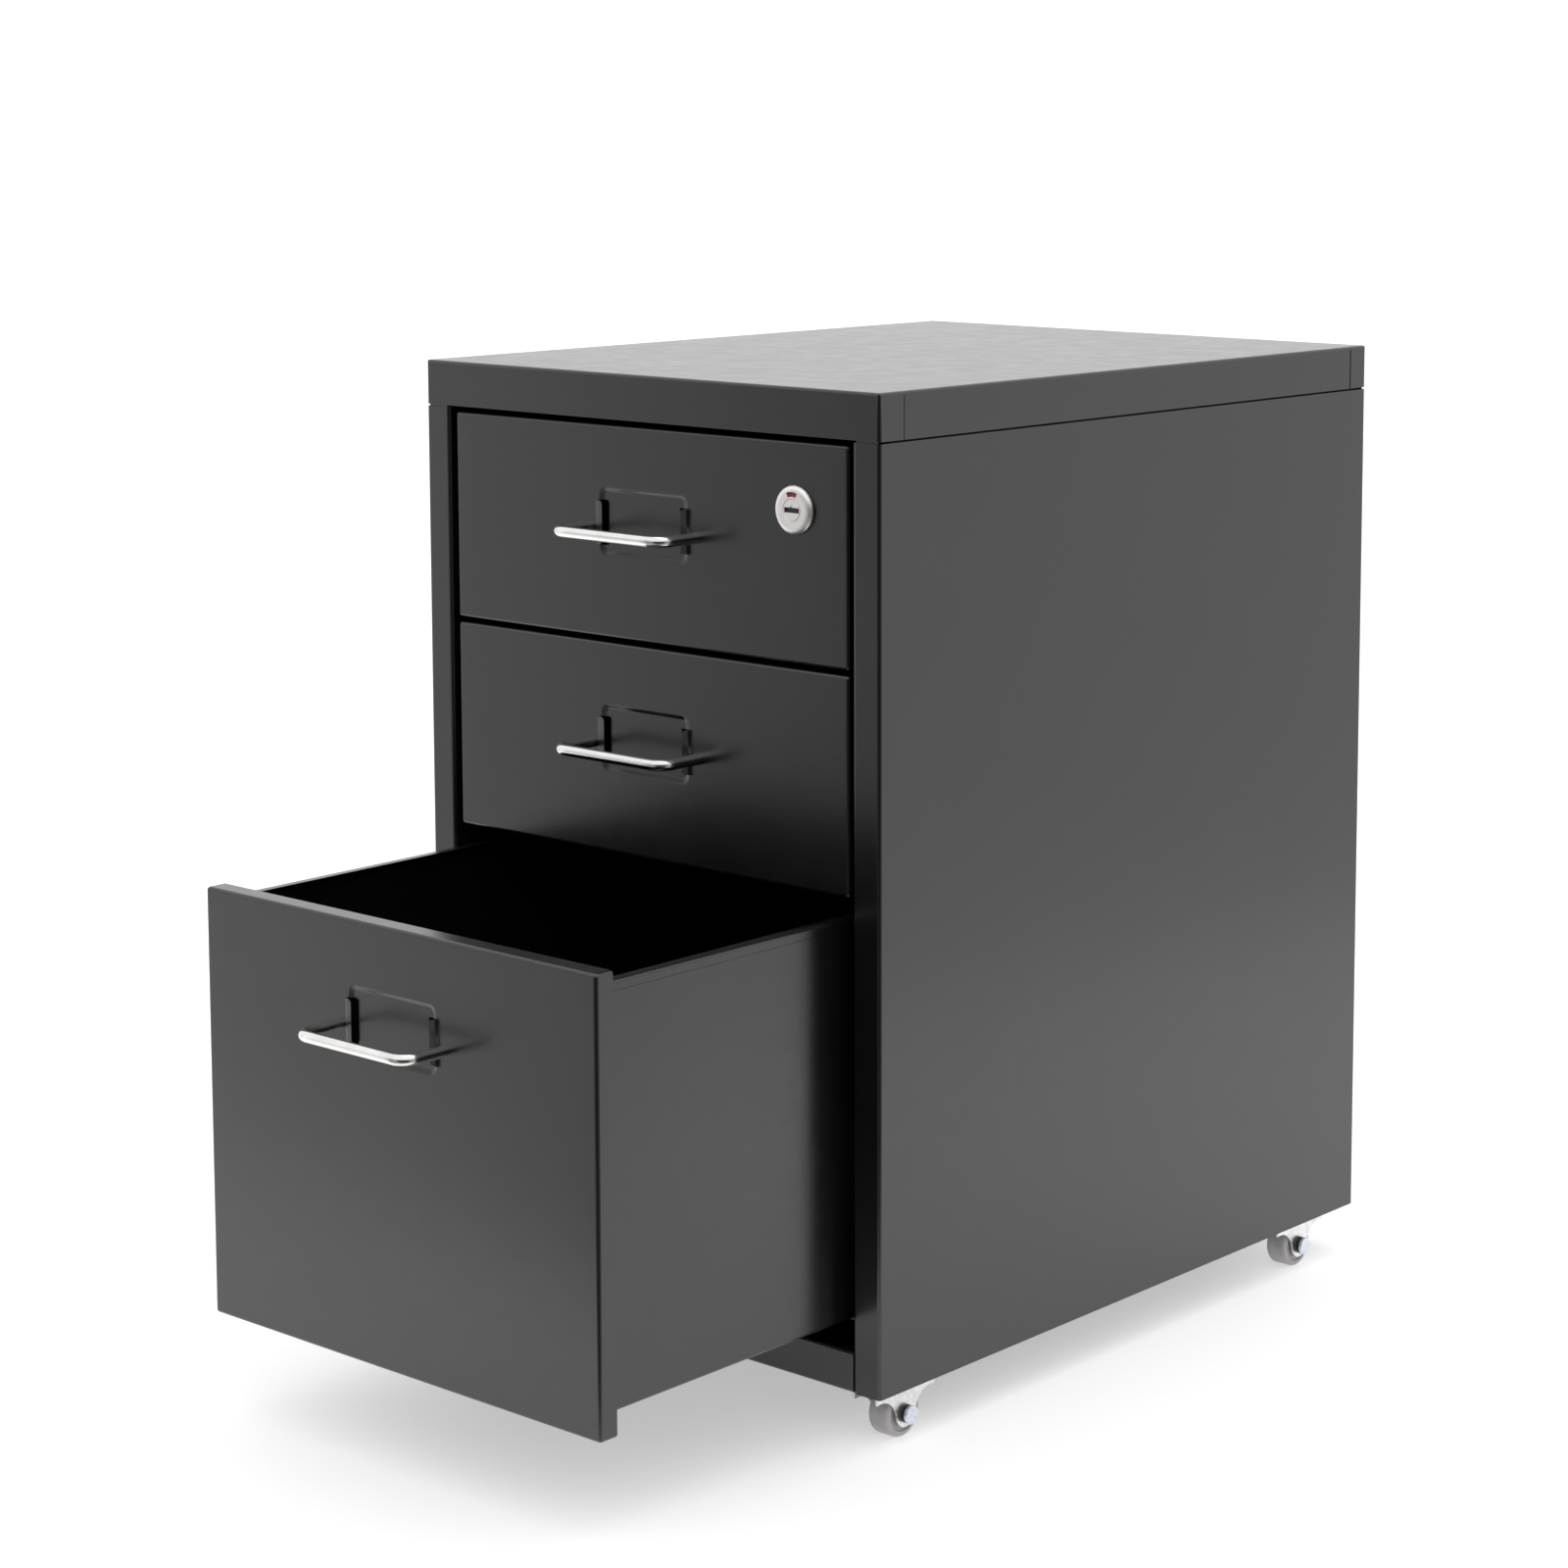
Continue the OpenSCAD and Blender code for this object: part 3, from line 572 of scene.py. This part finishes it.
def add_ear(bm, side, ear_z, zs, face_y, pad_z):
    """An ear cut free on three sides and joggled out, so that a card can slide in behind it."""
    columns = 14
    rows = []
    for z in zs:
        if not ear_z[0] - EPSILON < z < ear_z[1] + EPSILON:
            continue
        from_end = min(z - ear_z[0], ear_z[1] - z)
        into_corner = max(EAR_CORNER - from_end, 0)
        cut = EAR_CORNER - math.sqrt(max(EAR_CORNER ** 2 - into_corner ** 2, 0))
        row = []
        for x in steps(EAR_ROOT, EAR_FREE + cut, columns):
            along = (EAR_ROOT - x) / (EAR_ROOT - EAR_FREE)
            joggle = smoothstep(along / JOGGLE_RUN)
            rise = EAR_RISE * (JOGGLE_SHARE * joggle + (1 - JOGGLE_SHARE) * along)
            sunk = pad_sink(x, z, pad_z) * (1 - joggle)
            row.append(bm.verts.new((side * x, face_y + sunk - rise, z)))
        rows.append(row)
    for low, high in zip(rows, rows[1:]):
        bridge(bm, low, high, closed=False)
    bmesh.ops.remove_doubles(bm, verts=bm.verts, dist=WELD)


def drawer_front(drawer):
    """A front sheet with a pressed label holder and its ears, and edges folded back all round."""
    node = f"{drawer}_drawer_front"
    low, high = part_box(node)
    face_y = high.y - FRONT_RETURN
    ear_z = [high.z - EAR_DROP + half * EAR_HEIGHT / 2 for half in (-1, 1)]
    handle_z = high.z - HANDLE_DROP
    holes = []
    for side in (-1, 1):
        slot = sorted((side * EAR_SLOT, side * EAR_ROOT))
        holes.append((*slot, ear_z[0] - EAR_SLIT, ear_z[1] + EAR_SLIT))
        x = side * HANDLE_PITCH / 2
        holes.append((x - SCREW_HOLE, x + SCREW_HOLE, handle_z - SCREW_HOLE, handle_z + SCREW_HOLE))
    if drawer == "top":
        plug_low, plug_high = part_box("lock_plug")
        x, z = (plug_low.x + plug_high.x) / 2, (plug_low.z + plug_high.z) / 2
        holes.append((x - LOCK_HOLE, x + LOCK_HOLE, z - LOCK_HOLE, z + LOCK_HOLE))
    bm = bmesh.new()
    grid, zs = flat_face(bm, low, high, face_y, holes, ear_z)
    fold_back(bm, grid)
    for side in (-1, 1):
        add_ear(bm, side, ear_z, zs, face_y, high.z - PAD_DROP)
    name = node + "_sheet"
    body = f"{drawer}_drawer"
    add_piece(name, to_mesh(name, bm), "black_paint", body, node, edge=FRONT_EDGE, thickness=SHEET)


# ---- handles ----


def handle(drawer):
    """A rod that stands out of the drawer front on two legs, bent round into a grip."""
    node = f"{drawer}_drawer_handle"
    low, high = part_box(node)
    face_y = high.y
    z = (low.z + high.z) / 2
    grip_y = low.y + ROD
    bend_y = grip_y + HANDLE_BEND
    x = HANDLE_PITCH / 2
    bend_x = x - HANDLE_BEND
    leg_steps, bend_steps, grip_steps = 6, 14, 16
    path = [(-x, y) for y in steps(face_y, bend_y, leg_steps)]
    path += arc((-bend_x, bend_y), HANDLE_BEND, 180, 270, bend_steps)[1:]
    path += [(along, grip_y) for along in steps(-bend_x, bend_x, grip_steps)[1:]]
    path += arc((bend_x, bend_y), HANDLE_BEND, 270, 360, bend_steps)[1:]
    path += [(x, y) for y in steps(bend_y, face_y, leg_steps)[1:]]
    bm = bmesh.new()
    sweep(bm, [Vector((px, py, z)) for px, py in path], ROD, ROD_SIDES)
    name = node + "_rod"
    add_piece(name, to_mesh(name, bm), "chrome", f"{drawer}_drawer", node)


# ---- lock ----


def ring_block(radii, half_angle, heights, origin, count):
    """A block between two radii, either side of the upright. Heights run out of the drawer front."""
    bm = bmesh.new()
    (inner, outer), (low, high) = radii, heights
    rows = []
    for t in steps(-half_angle, half_angle, count):
        corners = ((inner, low), (outer, low), (outer, high), (inner, high))
        points = [Vector((r * math.sin(t), -h, r * math.cos(t))) for r, h in corners]
        rows.append([bm.verts.new(origin + point) for point in points])
    for a, b in zip(rows, rows[1:]):
        bridge(bm, a, b)
    bm.faces.new(rows[0])
    bm.faces.new(rows[-1])
    return bm


def lock_rose(centre, radius, rise, barrel):
    """The lock's housing: a barrel behind the sheet, and a domed rose with a window over the flag."""
    bore = PLUG + 0.08 * MM
    ease = 0.3 * MM
    foot = 0.5 * MM
    foot_rise = 0.35 * MM
    window_floor = 1.2 * MM
    past = 1 * MM
    edge_start, edge_reach = ROSE_EDGE
    flat = radius - edge_reach
    angles = [math.radians(t) for t in steps(8, 90, 10)]
    edge = [
        (flat + edge_reach * math.cos(t), edge_start + (rise - edge_start) * math.sin(t))
        for t in angles
    ]
    profile = [
        (bore, -barrel), (BARREL, -barrel), (BARREL, 0),
        (radius - foot, 0), (radius - foot, foot_rise), (radius, foot), (radius, edge_start),
        *edge, (bore + ease, rise), (bore, rise - ease),
    ]
    bm = bmesh.new()
    lathe(bm, profile, centre, -Y, ROSE_SIDES)
    heights = (window_floor, rise + past)
    window = ring_block(WINDOW, WINDOW_ANGLE / 2, heights, centre, count=16)
    mesh = cut_mesh(to_mesh("lock_rose", bm), window)
    add_piece("lock_rose", mesh, "lock_nickel", "top_drawer", "lock_housing", edge=ROSE_CUT)


def lock_core(centre, rise, depth):
    """The turning plug with a round notch over its key slot, and a black block in the slot that is painted
    shade.
    """
    face = centre - Y * rise
    tail_r, tail_len = 3 * MM, 2 * MM
    ease = 0.35 * MM
    profile = [
        (0, -depth), (tail_r, -depth), (tail_r, -depth + tail_len), (PLUG, -depth + tail_len),
        (PLUG, rise - ease), *arc((PLUG - ease, rise - ease), ease, 20, 90, 4), (0, rise),
    ]
    bm = bmesh.new()
    lathe(bm, profile, centre, -Y, PLUG_SIDES)
    slot_width, slot_height = KEY_SLOT
    slot_depth = 6 * MM
    slot = brick((slot_width, 2 * slot_depth, slot_height), face)
    notch_r, notch_depth, notch_up = 1.5 * MM, 0.7 * MM, 1.1 * MM
    past = 1 * MM
    notch_profile = [(0, -notch_depth), (notch_r, -notch_depth), (notch_r, past), (0, past)]
    notch = bmesh.new()
    lathe(notch, notch_profile, face + Z * notch_up, -Y, 32)
    mesh = cut_mesh(to_mesh("lock_core", bm), notch, slot)
    add_piece("lock_core", mesh, "lock_nickel", "lock_cylinder", "lock_plug", edge=PLUG_CUT)

    # Painted shade: a black block set 1 mm back in the key slot, so that the slot reads dark
    play = 0.1 * MM
    shade_block_depth, shade_block_middle = 4.8 * MM, 3.4 * MM
    slot_shade_block = brick((slot_width - play, shade_block_depth, slot_height - play), face + Y * shade_block_middle)
    bmesh.ops.subdivide_edges(slot_shade_block, edges=slot_shade_block.edges, cuts=3)
    mesh = to_mesh("lock_slot_shade", slot_shade_block)
    add_piece("lock_slot_shade", mesh, "black_nylon", "lock_cylinder", "lock_plug", edge=PLUG_CUT)


def lock():
    """Both parts of the lock, round the point where its axis meets the top drawer's face."""
    low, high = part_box("lock_housing")
    face_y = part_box("top_drawer_front")[1].y - FRONT_RETURN
    centre = Vector(((low.x + high.x) / 2, face_y, (low.z + high.z) / 2))
    rise = face_y - low.y
    lock_rose(centre, (high.x - low.x) / 2, rise, barrel=high.y - face_y)
    lock_core(centre, rise, depth=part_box("lock_plug")[1].y - face_y)


# ---- casters ----

Caster = namedtuple("Caster", "out axle face")


def caster(end, side):
    """A caster's outward direction, the middle of its axle, and the x of its fork's outer face."""
    sign = 1 if side == "right" else -1
    wheel_low, wheel_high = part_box(f"{end}_{side}_wheel")
    fork_low, fork_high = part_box(f"{end}_{side}_caster_fork")
    face = fork_high.x if side == "right" else fork_low.x
    return Caster(X * sign, (wheel_low + wheel_high) / 2, face)


def cheek_edge(y, axle_z, plate_z):
    """The height of a cheek's lower edge, y along from the axle: a boss between hollow flanks."""
    flank_z = plate_z - FLANK_DROP - FLANK
    rise = axle_z - flank_z
    flank_y = math.sqrt((BOSS + FLANK) ** 2 - rise ** 2)
    touch = BOSS * flank_y / (BOSS + FLANK)
    y = abs(y)
    if y < touch:
        return axle_z - math.sqrt(BOSS ** 2 - y ** 2)
    return flank_z + math.sqrt(FLANK ** 2 - min(abs(flank_y - y), FLANK) ** 2)


def cheek_stations(half):
    """Places along a fork from -half to half, close together round the boss."""
    least_step = 0.02 * MM
    round_boss = [
        scale * BOSS * math.sin(math.radians(t)) for scale in (1, 1.1) for t in range(-90, 91, 10)
    ]
    places = sorted(set(steps(-half, half, 40) + round_boss))
    return [b for a, b in zip([-1] + places, places) if b - a > least_step]


def bent_plate(name, width, stations, middle_y, top, axle_z, outer, sign):
    """The screw plate, bent down into the outer cheek, as a solid mesh."""
    bm = bmesh.new()
    rows = []
    for y in stations:
        # Each section runs from the plate's inner edge to the cheek's lower edge: inset, then height
        section = [(inset, top) for inset in steps(width, PLATE_BEND, 8)]
        bend = arc((0, 0), PLATE_BEND, 0, 90, 6)[1:]
        section += [(PLATE_BEND - across, top - PLATE_BEND + up) for up, across in bend]
        section += [(0, z) for z in steps(top - PLATE_BEND, cheek_edge(y, axle_z, top), 8)[1:]]
        rows.append([bm.verts.new((outer - sign * inset, middle_y + y, z)) for inset, z in section])
    for a, b in zip(rows, rows[1:]):
        bridge(bm, a, b, closed=False)
    bmesh.ops.recalc_face_normals(bm, faces=bm.faces)
    # The plate's normals point up, so that its thickness goes down and inward
    downward = -0.9
    if any(face.normal.z < downward for face in bm.faces):
        bmesh.ops.reverse_faces(bm, faces=bm.faces)
    mesh = bpy.data.meshes.new(name)
    bm.to_mesh(mesh)
    bm.free()
    blank = bpy.data.objects.new("blank", mesh)
    scene.collection.objects.link(blank)
    thicken(blank, PLATE)
    solid = baked(blank)
    bpy.data.objects.remove(blank)
    return solid


def caster_fork(end, side):
    """A pressed channel: a screw plate bent down into a cheek, and a second cheek welded under it."""
    node = f"{end}_{side}_caster_fork"
    low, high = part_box(node)
    out, axle, outer = caster(end, side)
    top = high.z
    middle_y = (low.y + high.y) / 2
    stations = cheek_stations((high.y - low.y) / 2)
    width = high.x - low.x
    bm = bmesh.new()
    bm.from_mesh(bent_plate(node, width, stations, middle_y, top, axle.z, outer, out.x))
    outlines = []
    for inset in (PLATE + CHEEK_GAP, 2 * PLATE + CHEEK_GAP):
        x = outer - out.x * inset
        lower = [bm.verts.new((x, middle_y + y, cheek_edge(y, axle.z, top))) for y in stations]
        upper = [bm.verts.new((x, middle_y + y, top - PLATE)) for y in stations]
        bridge(bm, lower, upper, closed=False)
        outlines.append(lower + upper[::-1])
    bridge(bm, *outlines)
    name = node + "_pressing"
    add_piece(name, to_mesh(name, bm), "zinc", "cabinet", node, edge=FORK_EDGE)


def wheel(end, side):
    """A moulded wheel: a hub proud of a dished web, and a rounded tread with a fine parting line."""
    node = f"{end}_{side}_wheel"
    low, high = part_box(node)
    radius = (high.z - low.z) / 2
    hub = (high.x - low.x) / 2
    hub_r = 5 * MM
    tread = TREAD / 2
    web = tread - 1.2 * MM
    web_r = (5.3 * MM, 11.2 * MM)
    rim_r = 11.6 * MM
    bore = 2.56 * MM
    ease = 0.2 * MM
    edge = 2.4 * MM
    line_depth, line_top, line_bottom = 0.12 * MM, 0.5 * MM, 0.25 * MM
    half = [
        (bore, hub - ease), (bore + ease, hub), (hub_r - ease, hub), (hub_r, hub - ease),
        (web_r[0], web), (web_r[1], web), (rim_r, tread),
        *reversed(arc((radius - edge, tread - edge), edge, 0, 90, 8)),
        (radius, line_top), (radius - line_depth, line_bottom),
    ]
    profile = half + [(r, -h) for r, h in reversed(half)]
    bm = bmesh.new()
    lathe(bm, profile, (low + high) / 2, X, WHEEL_SIDES)
    name = node + "_tyre"
    add_piece(name, to_mesh(name, bm), "grey_nylon", node, node)


def on_axles(name, profile, slot, node, count):
    """One turned profile at every axle. Its heights run outward from the fork's outer face."""
    bm = bmesh.new()
    for corner in CORNERS:
        out, axle, face = caster(*corner)
        lathe(bm, profile, Vector((face, axle.y, axle.z)), out, count)
    add_piece(name, to_mesh(name, bm), slot, "cabinet", node)


def caster_axles():
    """Riveted pins: a wide flat head stands off the outer cheek, and a smaller one closes the inner end."""
    radius, head = AXLE_HEAD
    under = SPACER[1]
    face = under + head
    ease = 0.3 * MM
    crown = 0.6 * MM
    dome_r, dome_rise = radius - 2.2 * MM, 0.05 * MM
    inner = -2 * PLATE - CHEEK_GAP
    tail, tail_r, tail_end_r = 1.4 * MM, 4.2 * MM, 3.6 * MM
    profile = [
        (0, inner - tail), (tail_end_r, inner - tail), (tail_r, inner - 0.6 * tail), (tail_r, inner),
        (AXLE, inner), (AXLE, under), (radius - ease, under), (radius, under + ease),
        *arc((radius - crown, face - crown), crown, 0, 80, 6),
        (dome_r, face - dome_rise), (0, face),
    ]
    on_axles("axle_pins", profile, "bright_steel", "caster_axles", AXLE_SIDES)


def caster_spacers():
    """Dark collars with a groove, between the outer cheeks and the axles' heads."""
    radius, length = SPACER
    bore = AXLE + 0.05 * MM
    groove_r = radius - 0.9 * MM
    groove_from, groove_to, slope = 1.1 * MM, 2.1 * MM, 0.3 * MM
    ease, end_ease = 0.3 * MM, 0.2 * MM
    profile = [
        (bore, 0), (radius - ease, 0), (radius, ease), (radius, groove_from),
        (groove_r, groove_from + slope), (groove_r, groove_to - slope), (radius, groove_to),
        (radius, length - end_ease), (radius - end_ease, length), (bore, length),
    ]
    on_axles("axle_collars", profile, "dark_steel", "caster_spacers", SPACER_SIDES)


# ---- screws ----


def screw_mesh(size):
    """A pan-head screw with a cross recess. Its head rises along +Z from the origin."""
    head_r, head_t, shank_r, shank_len = size
    ease = 0.3 * MM
    rim = 0.35 * head_t
    crown = 0.38 * head_r
    recess_long, recess_wide = 1.15 * head_r, 0.24 * head_r
    profile = [
        (0, -shank_len), (shank_r - ease, -shank_len), (shank_r, -shank_len + ease), (shank_r, 0),
        (head_r, 0), (head_r, rim), *arc((head_r - crown, rim), crown, 20, 60, 4),
        (0.5 * head_r, 0.96 * head_t), (0, head_t),
    ]
    bm = bmesh.new()
    lathe(bm, [(r, min(h, head_t)) for r, h in profile], Vector((0, 0, 0)), Z, SCREW_SIDES)
    arms = ((recess_long, recess_wide), (recess_wide, recess_long))
    return cut_mesh(to_mesh("screw", bm), *[brick((*arm, head_t), Z * head_t) for arm in arms])


def screws(name, node, body, size, heads, direction):
    """Copies of one screw, each turned further, with the undersides of their heads at the points."""
    turn_each = 0.7
    one = screw_mesh(size)
    point_out = Z.rotation_difference(direction).to_matrix().to_4x4()
    bm = bmesh.new()
    for k, point in enumerate(heads):
        copy = one.copy()
        copy.transform(Matrix.Translation(point) @ point_out @ Matrix.Rotation(turn_each * k, 4, "Z"))
        bm.from_mesh(copy)
        bpy.data.meshes.remove(copy)
    add_piece(name, to_mesh(name, bm), "zinc", body, node)


def plate_screws():
    """Four screws up through each caster's plate."""
    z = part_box("caster_screws")[0].z + PLATE_SCREW.head_t
    points = []
    for corner in CORNERS:
        out, axle, face = caster(*corner)
        for inset in PLATE_SCREW_IN:
            for along in (-PLATE_SCREW_ALONG, PLATE_SCREW_ALONG):
                points.append(Vector((face - out.x * inset, axle.y + along, z)))
    screws("plate_screws", "caster_screws", "cabinet", PLATE_SCREW, points, -Z)


def panel_screws():
    """Four screws down each side of the back panel."""
    low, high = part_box("back_screws")
    reach = PANEL_SCREW.head_r
    y = high.y - PANEL_SCREW.head_t
    heights = steps(low.z + reach, high.z - reach, 3)
    points = [Vector((x, y, z)) for x in (low.x + reach, high.x - reach) for z in heights]
    screws("panel_screws", "back_screws", "cabinet", PANEL_SCREW, points, Y)


def handle_screws(drawer):
    """Two screws from inside the drawer into the handle's legs."""
    node = f"{drawer}_drawer_handle_screws"
    low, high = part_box(node)
    y = high.y - HANDLE_SCREW.head_t
    z = (low.z + high.z) / 2
    points = [Vector((side * HANDLE_PITCH / 2, y, z)) for side in (-1, 1)]
    screws(node + "_pan", node, f"{drawer}_drawer", HANDLE_SCREW, points, Y)


# ---- CAD nodes that stay ----


def dress_nodes():
    """Gives each CAD node that no piece stands in for its material, and eases its cut edges."""
    for sub in frame["record"]["subparts"]:
        if sub["node"] in replaced_nodes:
            continue
        obj = nodes[sub["node"]]
        obj.data.materials.clear()
        obj.data.materials.append(MATERIALS[sub["material_slot"]])
        weld = obj.modifiers.new("weld", "WELD")
        weld.merge_threshold = 0.01 * MM
        crease(obj, CAD_EDGE)


# ---- studio ----


def floor():
    """A round pale floor that glows a little, so that its rim fades into the white round it."""
    paper = Shade("floor_paper", emission_strength=FLOOR_GLOW)
    paper.tint(paper.noise(0.9, 2), (0.78, 0.78, 0.78), (0.80, 0.80, 0.80))
    paper.roughen(paper.noise(0.5, 2), 0.85, 0.9)
    bm = bmesh.new()
    bmesh.ops.create_circle(bm, cap_ends=True, cap_tris=True, segments=96, radius=FLOOR_RADIUS)
    bmesh.ops.translate(bm, vec=FLOOR_MIDDLE, verts=bm.verts)
    mesh = bpy.data.meshes.new("floor")
    bm.to_mesh(mesh)
    bm.free()
    mesh.materials.append(paper.material)
    obj = bpy.data.objects.new("floor", mesh)
    scene.collection.objects.link(obj)


def surroundings():
    """Walls that are darker in front of the cabinet under an even ceiling, and plain white seen directly."""
    world = bpy.data.worlds.new("studio")
    world.use_nodes = True
    scene.world = world
    tree = world.node_tree
    direction = add_node(tree, "ShaderNodeTexCoord").outputs["Generated"]

    links = [(0, direction)]
    cosine = add_node(tree, "ShaderNodeVectorMath", links, {1: FRONT_RIGHT}, operation="DOT_PRODUCT")
    links = [("Value", cosine.outputs["Value"])]
    share = add_node(tree, "ShaderNodeMapRange", links, {"From Min": -1})
    walls = add_node(tree, "ShaderNodeValToRGB", [("Fac", share.outputs[0])])
    # The ramp starts with two elements
    for _ in WALLS[2:]:
        walls.color_ramp.elements.new(0.5)
    for element, (place, level) in zip(walls.color_ramp.elements, WALLS):
        element.position = (place + 1) / 2
        element.color = (level, level, level, 1)

    height = add_node(tree, "ShaderNodeSeparateXYZ", [(0, direction)]).outputs["Z"]
    limits = {"From Min": CEILING_FROM, "From Max": CEILING_TO}
    links = [("Value", height)]
    up = add_node(tree, "ShaderNodeMapRange", links, limits, interpolation_type="SMOOTHSTEP")
    links = [("Fac", up.outputs[0]), ("Color1", walls.outputs[0])]
    room = add_node(tree, "ShaderNodeMixRGB", links, {"Color2": (CEILING, CEILING, CEILING, 1)})

    seen = add_node(tree, "ShaderNodeLightPath").outputs["Is Camera Ray"]
    links = [("Fac", seen), ("Color1", room.outputs[0])]
    colour = add_node(tree, "ShaderNodeMixRGB", links, {"Color2": (1, 1, 1, 1)})
    background = tree.nodes["Background"]
    background.inputs["Strength"].default_value = BRIGHTNESS
    tree.links.new(colour.outputs[0], background.inputs["Color"])


def area_light(name, place, target, size, power):
    data = bpy.data.lights.new(name, "AREA")
    data.shape = "RECTANGLE"
    data.size, data.size_y = size
    data.energy = power
    light = bpy.data.objects.new(name, data)
    light.location = place
    light.rotation_euler = (Vector(target) - Vector(place)).to_track_quat("-Z", "Y").to_euler()
    scene.collection.objects.link(light)


def camera():
    """A long lens at the front right corner, a little above the lid."""
    data = bpy.data.cameras.new("camera")
    data.lens = LENS
    data.sensor_width = SENSOR
    data.shift_x, data.shift_y = LENS_SHIFT
    data.clip_end = FAR_CLIP
    yaw = Matrix.Rotation(CAMERA_YAW, 4, "Z")
    pitch = Matrix.Rotation(math.pi / 2 - CAMERA_PITCH, 4, "X")
    roll = Matrix.Rotation(-CAMERA_ROLL, 4, "Z")
    obj = bpy.data.objects.new("camera", data)
    obj.location = CAMERA_PLACE
    obj.rotation_euler = (yaw @ pitch @ roll).to_euler()
    scene.collection.objects.link(obj)
    scene.camera = obj


# ---- everything ----

for drawer in DRAWERS:
    drawer_front(drawer)
    handle(drawer)
lock()
for end, side in CORNERS:
    caster_fork(end, side)
    wheel(end, side)
caster_axles()
caster_spacers()
plate_screws()
panel_screws()
for drawer in DRAWERS:
    handle_screws(drawer)
dress_nodes()
floor()
surroundings()
area_light("overhead", place=(0.3, 0.5, 2.8), target=(0.1, 0.1, 0), size=(2.2, 2.2), power=12)
camera()
scene.view_settings.view_transform = "Standard"
